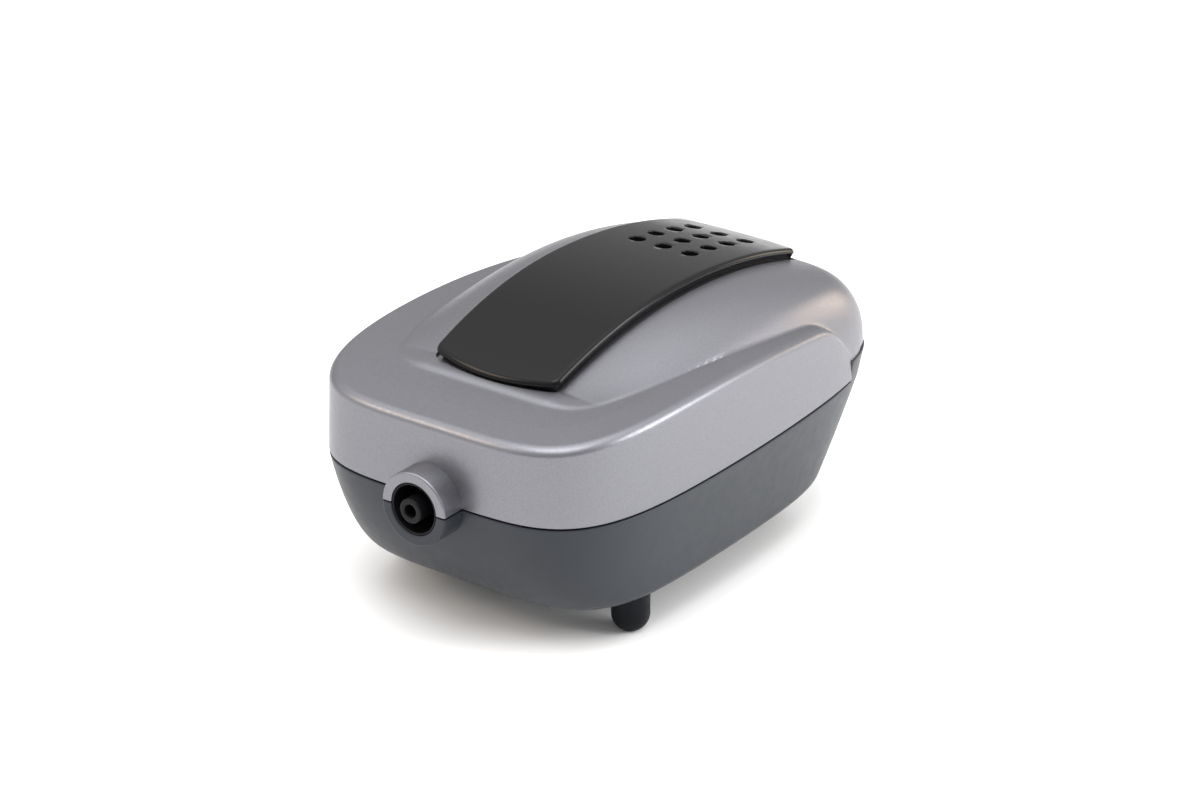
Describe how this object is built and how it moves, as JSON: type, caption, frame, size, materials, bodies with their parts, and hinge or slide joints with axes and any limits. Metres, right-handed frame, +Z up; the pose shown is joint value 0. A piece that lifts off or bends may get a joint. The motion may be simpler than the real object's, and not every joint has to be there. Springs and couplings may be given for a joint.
{
  "type": "aquarium air pump",
  "caption": "Small table-top aquarium air pump: two-part moulded casing with an inlaid vented panel, one airline outlet at the front, rubber feet, and a magnet-driven diaphragm inside.",
  "frame": {"origin": "middle of the overall box, on the plane that the rubber feet stand on", "axes": "+Z up, the airline outlet faces -Y, +Y runs along the length to the rear, +X across"},
  "size_m": [0.08, 0.1236, 0.0629],
  "materials": {
    "silver_paint": "satin metallic silver paint on moulded plastic",
    "graphite_plastic": "semi-matt moulded plastic, dark grey",
    "charcoal_plastic": "satin moulded plastic, near black",
    "black_plastic": "moulded plastic, black",
    "black_rubber": "moulded rubber, black",
    "felt": "dark pressed felt",
    "pale_plastic": "natural moulded plastic",
    "zinc_steel": "zinc-plated steel",
    "core_steel": "stacked electrical steel sheets",
    "magnet_ceramic": "sintered ferrite, ground",
    "enamelled_copper": "enamelled copper wire",
    "coil_tape": "varnished cloth tape",
    "lead_sleeve": "flexible insulated wire"
  },
  "bodies": {
    "casing": {"top_housing": "silver_paint", "bottom_housing": "graphite_plastic", "top_panel": "charcoal_plastic", "air_filter": "felt", "outlet_nozzle": "black_plastic", "cord_grommet": "black_rubber", "foot_front_left": "black_rubber", "foot_front_right": "black_rubber", "foot_rear_left": "black_rubber", "foot_rear_right": "black_rubber", "housing_screws": "zinc_steel", "air_hose": "black_rubber", "chamber_body": "pale_plastic", "valve_cover": "pale_plastic", "valve_gasket": "black_rubber", "diaphragm": "black_rubber", "diaphragm_ring": "pale_plastic", "chamber_screws": "zinc_steel", "mount_screws": "zinc_steel", "pivot_pin": "zinc_steel", "pivot_bracket": "pale_plastic", "bracket_screws": "zinc_steel", "core_laminations": "core_steel", "coil_bobbin": "pale_plastic", "coil_winding": "enamelled_copper", "winding_tape": "coil_tape", "core_screws": "zinc_steel", "coil_leads": "lead_sleeve", "lead_caps": "pale_plastic"},
    "swing_arm": {"swing_arm": "zinc_steel", "diaphragm_plate": "pale_plastic", "diaphragm_screw": "zinc_steel", "magnet_holder": "black_plastic", "magnets": "magnet_ceramic"},
    "inlet_flap": {"inlet_flap": "black_rubber"},
    "outlet_flap": {"outlet_flap": "black_rubber"}
  },
  "joints": [
    {"name": "arm_swing", "type": "hinge", "parent": "casing", "child": "swing_arm", "pos_m": [-0.029, -0.0024, 0.033], "axis": [0, 0, 1], "range_deg": [-2, 2], "stiffness_Nm_per_rad": 0.5, "deforming": ["diaphragm"]},
    {"name": "inlet_flap_hinge", "type": "hinge", "parent": "casing", "child": "inlet_flap", "pos_m": [-0.01, -0.01772, 0.03835], "axis": [1, 0, 0], "range_deg": [0, 12], "stiffness_Nm_per_rad": 0.00002},
    {"name": "outlet_flap_hinge", "type": "hinge", "parent": "casing", "child": "outlet_flap", "pos_m": [0, -0.02168, 0.03835], "axis": [-1, 0, 0], "range_deg": [0, 12], "stiffness_Nm_per_rad": 0.00002}
  ]
}
